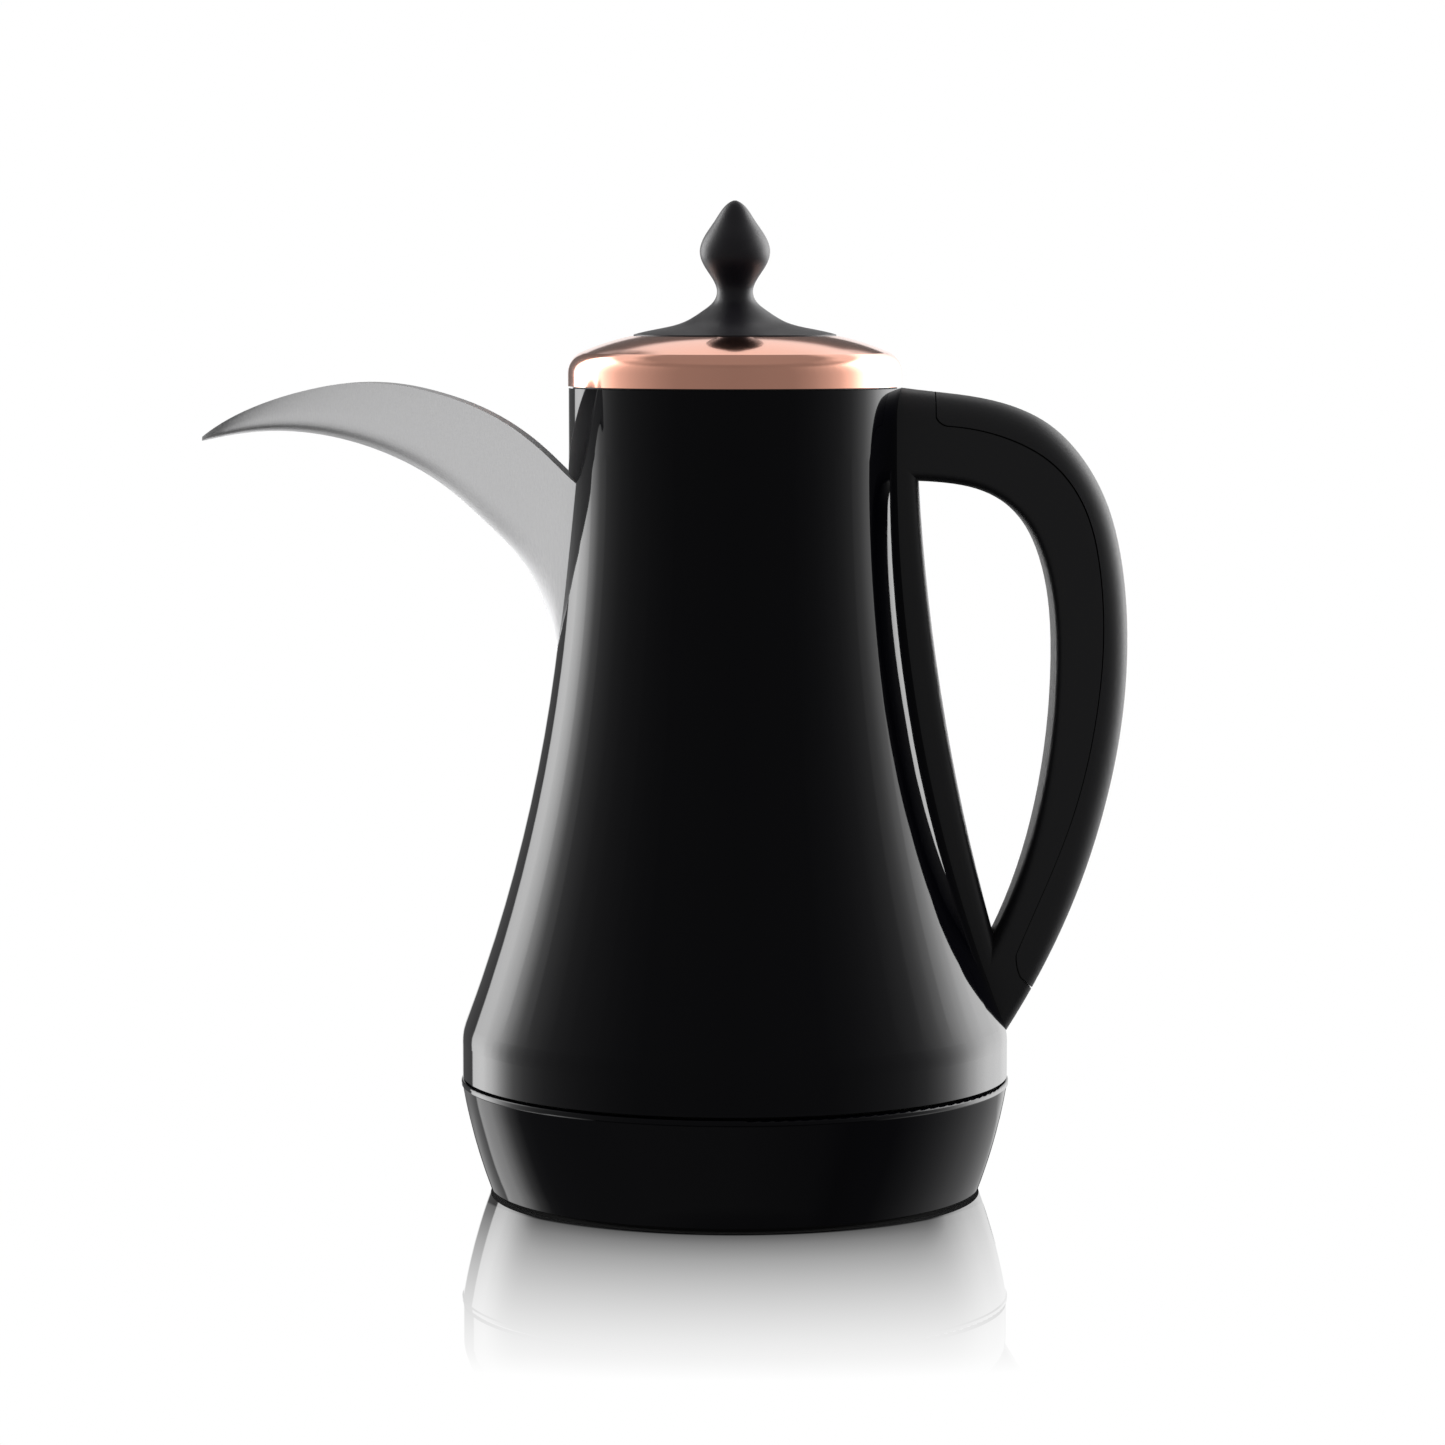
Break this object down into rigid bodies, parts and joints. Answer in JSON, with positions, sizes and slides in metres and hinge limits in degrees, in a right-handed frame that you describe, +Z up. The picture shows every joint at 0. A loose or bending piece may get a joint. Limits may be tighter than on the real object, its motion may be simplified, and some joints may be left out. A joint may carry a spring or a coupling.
{
  "type": "cordless electric dallah coffee pot",
  "caption": "Electric dallah: jug with a steel beak spout, loop handle and copper lift-off lid with a pointed finial, standing on a round power base.",
  "frame": {"origin": "on the jug's vertical axis, in the plane that the base's foot ring stands on", "axes": "+Z up along the jug's axis, -X towards the spout, +X towards the handle, +Y towards the cord's inlet at the back of the base"},
  "size_m": [0.2532, 0.151, 0.2718],
  "materials": {
    "black_lacquer": "high-gloss black lacquer",
    "black_plastic": "moulded black plastic",
    "black_rubber": "black silicone rubber",
    "screw_steel": "zinc-plated screws",
    "contact_brass": "plated brass contacts",
    "board_green": "glass-fibre circuit board",
    "lens_clear": "clear light pipe",
    "white_plastic": "white moulded terminal block",
    "bright_steel": "drawn stainless steel",
    "brushed_steel": "stainless steel, brushed upright",
    "cast_aluminium": "cast aluminium",
    "element_steel": "sheathed heating tube",
    "handle_black": "satin black plastic",
    "grip_black": "soft-touch black overmould",
    "copper_plate": "polished rose-copper plating",
    "finial_black": "fine matt black",
    "seal_white": "translucent silicone"
  },
  "bodies": {
    "base": {"base_housing": "black_lacquer", "base_bottom_plate": "black_plastic", "foot_ring": "black_rubber", "base_screws": "screw_steel", "connector_housing": "black_plastic", "live_pin": "contact_brass", "ring_contact": "contact_brass", "power_switch": "black_plastic", "control_board": "board_green", "indicator_lens": "lens_clear", "cord_gland": "black_rubber", "terminal_block": "white_plastic"},
    "button": {"power_button": "black_plastic"},
    "jug": {"body_shell": "black_lacquer", "inner_vessel": "bright_steel", "rim_collar": "black_rubber", "spout": "brushed_steel", "spout_strainer": "brushed_steel", "jug_base_cover": "black_plastic", "cover_screws": "screw_steel", "bottom_seal": "black_rubber", "heater_plate": "cast_aluminium", "heating_element": "element_steel", "jug_socket": "black_plastic", "handle_frame": "handle_black", "handle_grip": "grip_black", "handle_screws": "screw_steel"},
    "lid": {"lid_cover": "copper_plate", "finial_knob": "finial_black", "lid_liner": "black_plastic", "lid_gasket": "seal_white", "finial_screw": "screw_steel"}
  },
  "joints": [
    {"name": "button_press", "type": "slide", "parent": "base", "child": "button", "axis": [-1, 0, 0], "range_m": [0, 0.0012], "stiffness_N_per_m": 400, "springref_m": -0.0005},
    {"name": "jug_lift", "type": "slide", "parent": "base", "child": "jug", "axis": [0, 0, 1], "range_m": [0, 0.06]},
    {"name": "lid_lift", "type": "slide", "parent": "jug", "child": "lid", "axis": [0, 0, 1], "range_m": [0, 0.05]}
  ]
}
